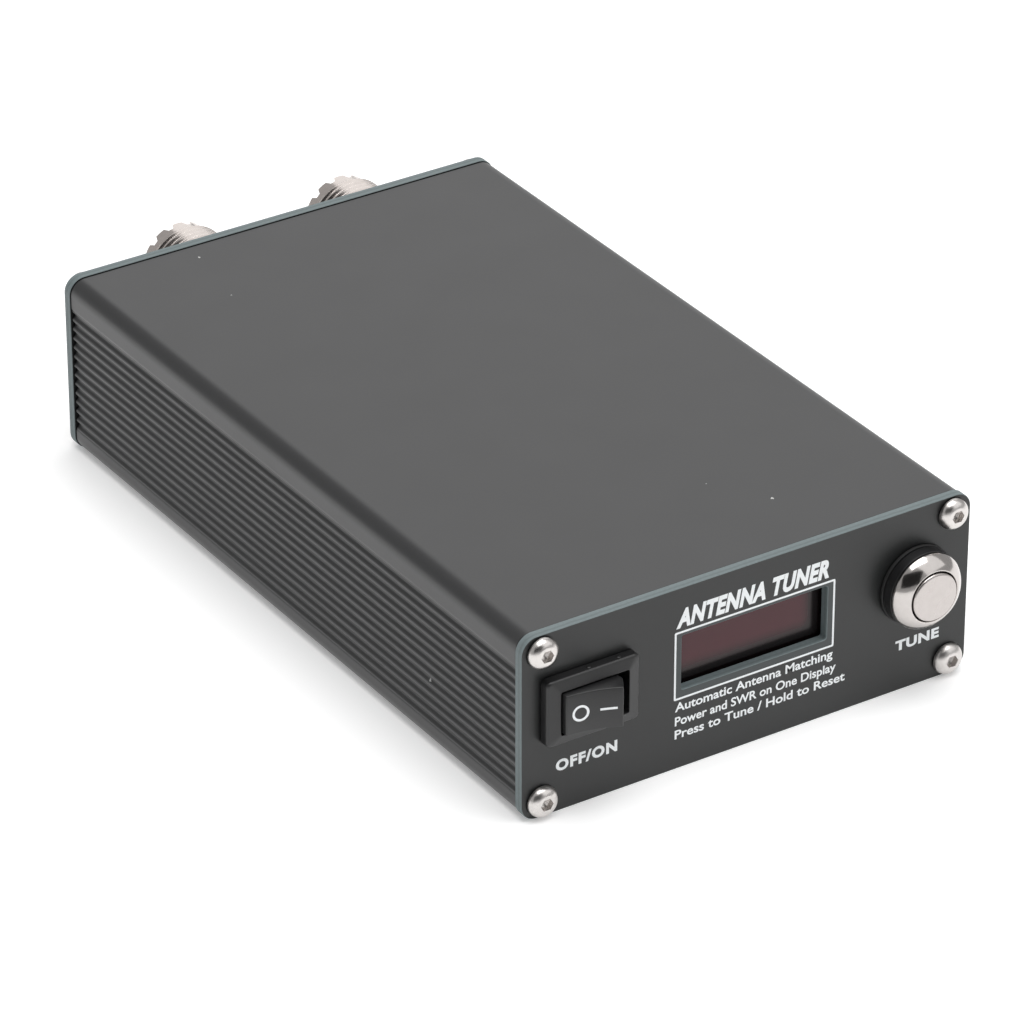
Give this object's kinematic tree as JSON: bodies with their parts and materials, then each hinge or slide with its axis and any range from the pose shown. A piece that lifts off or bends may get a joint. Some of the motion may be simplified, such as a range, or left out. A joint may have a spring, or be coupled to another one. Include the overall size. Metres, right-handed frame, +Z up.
{
  "type": "antenna tuner",
  "caption": "Compact automatic antenna tuner in a ribbed black case, with a rocker switch, a small display window and a push button in front, and aerial and supply sockets behind.",
  "frame": {"origin": "bottom centre of the bounding box, sockets and button included", "axes": "+X to the right seen from the front, +Y from the front panel to the back, +Z up; the front panel faces -Y"},
  "size_m": [0.088, 0.1708, 0.034],
  "materials": {
    "anodised_aluminium": "fine matte black anodising",
    "panel_laminate": "satin black laminate with grey-green cut edges",
    "stainless": "bright stainless steel",
    "black_nylon": "satin moulded black nylon",
    "black_rubber": "matte black",
    "chromed_brass": "polished chrome plate",
    "nickel_plate": "bright nickel plate",
    "brass": "plain stamped brass",
    "white_ptfe": "waxy white",
    "tinted_acrylic": "dark red-brown, glossy",
    "display_glass": "clear over a dark segment display",
    "circuit_laminate": "green solder resist",
    "relay_cover": "moulded blue covers",
    "iron_powder": "painted iron powder",
    "enamelled_copper": "enamelled copper wire",
    "chip_epoxy": "moulded black epoxy",
    "capacitor_sleeve": "shrunk plastic sleeve"
  },
  "bodies": {
    "case": {"case_extrusion": "anodised_aluminium", "front_panel": "panel_laminate", "rear_panel": "panel_laminate", "front_screw_top_left": "stainless", "front_screw_top_right": "stainless", "front_screw_bottom_right": "stainless", "front_screw_bottom_left": "stainless", "rear_screw_top_left": "stainless", "rear_screw_top_right": "stainless", "rear_screw_bottom_right": "stainless", "rear_screw_bottom_left": "stainless", "switch_housing": "black_nylon", "switch_terminal_common": "brass", "switch_terminal_load": "brass", "button_seal": "black_rubber", "button_body": "black_nylon", "button_ring": "chromed_brass", "button_spring": "stainless", "button_terminal_left": "brass", "button_terminal_right": "brass", "button_nut": "stainless", "display_filter": "tinted_acrylic", "display_glass": "display_glass", "display_board": "circuit_laminate", "rf_socket_1_shell": "nickel_plate", "rf_socket_1_insulator": "white_ptfe", "rf_socket_1_contact": "nickel_plate", "rf_socket_1_washer": "stainless", "rf_socket_1_nut": "stainless", "rf_socket_2_shell": "nickel_plate", "rf_socket_2_insulator": "white_ptfe", "rf_socket_2_contact": "nickel_plate", "rf_socket_2_washer": "stainless", "rf_socket_2_nut": "stainless", "dc_jack_body": "nickel_plate", "dc_jack_insulator": "black_nylon", "dc_jack_pin": "brass", "dc_jack_nut": "nickel_plate", "main_board": "circuit_laminate", "capacitor_relays": "relay_cover", "inductor_relays": "relay_cover", "inductor_1_core": "iron_powder", "inductor_1_winding": "enamelled_copper", "inductor_2_core": "iron_powder", "inductor_2_winding": "enamelled_copper", "coupler_core": "iron_powder", "controller_chip": "chip_epoxy", "regulator_case": "chip_epoxy", "regulator_tab": "stainless", "reservoir_capacitor": "capacitor_sleeve", "rf_lead_1": "enamelled_copper", "rf_lead_2": "enamelled_copper"},
    "rocker": {"rocker": "black_nylon"},
    "switch_bridge": {"switch_bridge": "brass"},
    "button": {"button_cap": "chromed_brass", "button_plunger": "black_nylon", "button_contact": "brass"}
  },
  "joints": [
    {"name": "rocker_hinge", "type": "hinge", "parent": "case", "child": "rocker", "pos_m": [-0.03156, -0.07805, 0.01985], "axis": [0, 0, 1], "range_deg": [0, 30]},
    {"name": "switch_bridge_hinge", "type": "hinge", "parent": "case", "child": "switch_bridge", "pos_m": [-0.03156, -0.07165, 0.01985], "axis": [0, 0, 1], "range_deg": [-12, 0]},
    {"name": "tune_button_slide", "type": "slide", "parent": "case", "child": "button", "axis": [0, 1, 0], "range_m": [0, 0.0016], "stiffness_N_per_m": 1000, "springref_m": -0.001, "deforming": ["button_spring"]}
  ],
  "couplings": [
    {"joint": "switch_bridge_hinge", "follows": "rocker_hinge", "ratio": -0.4}
  ]
}
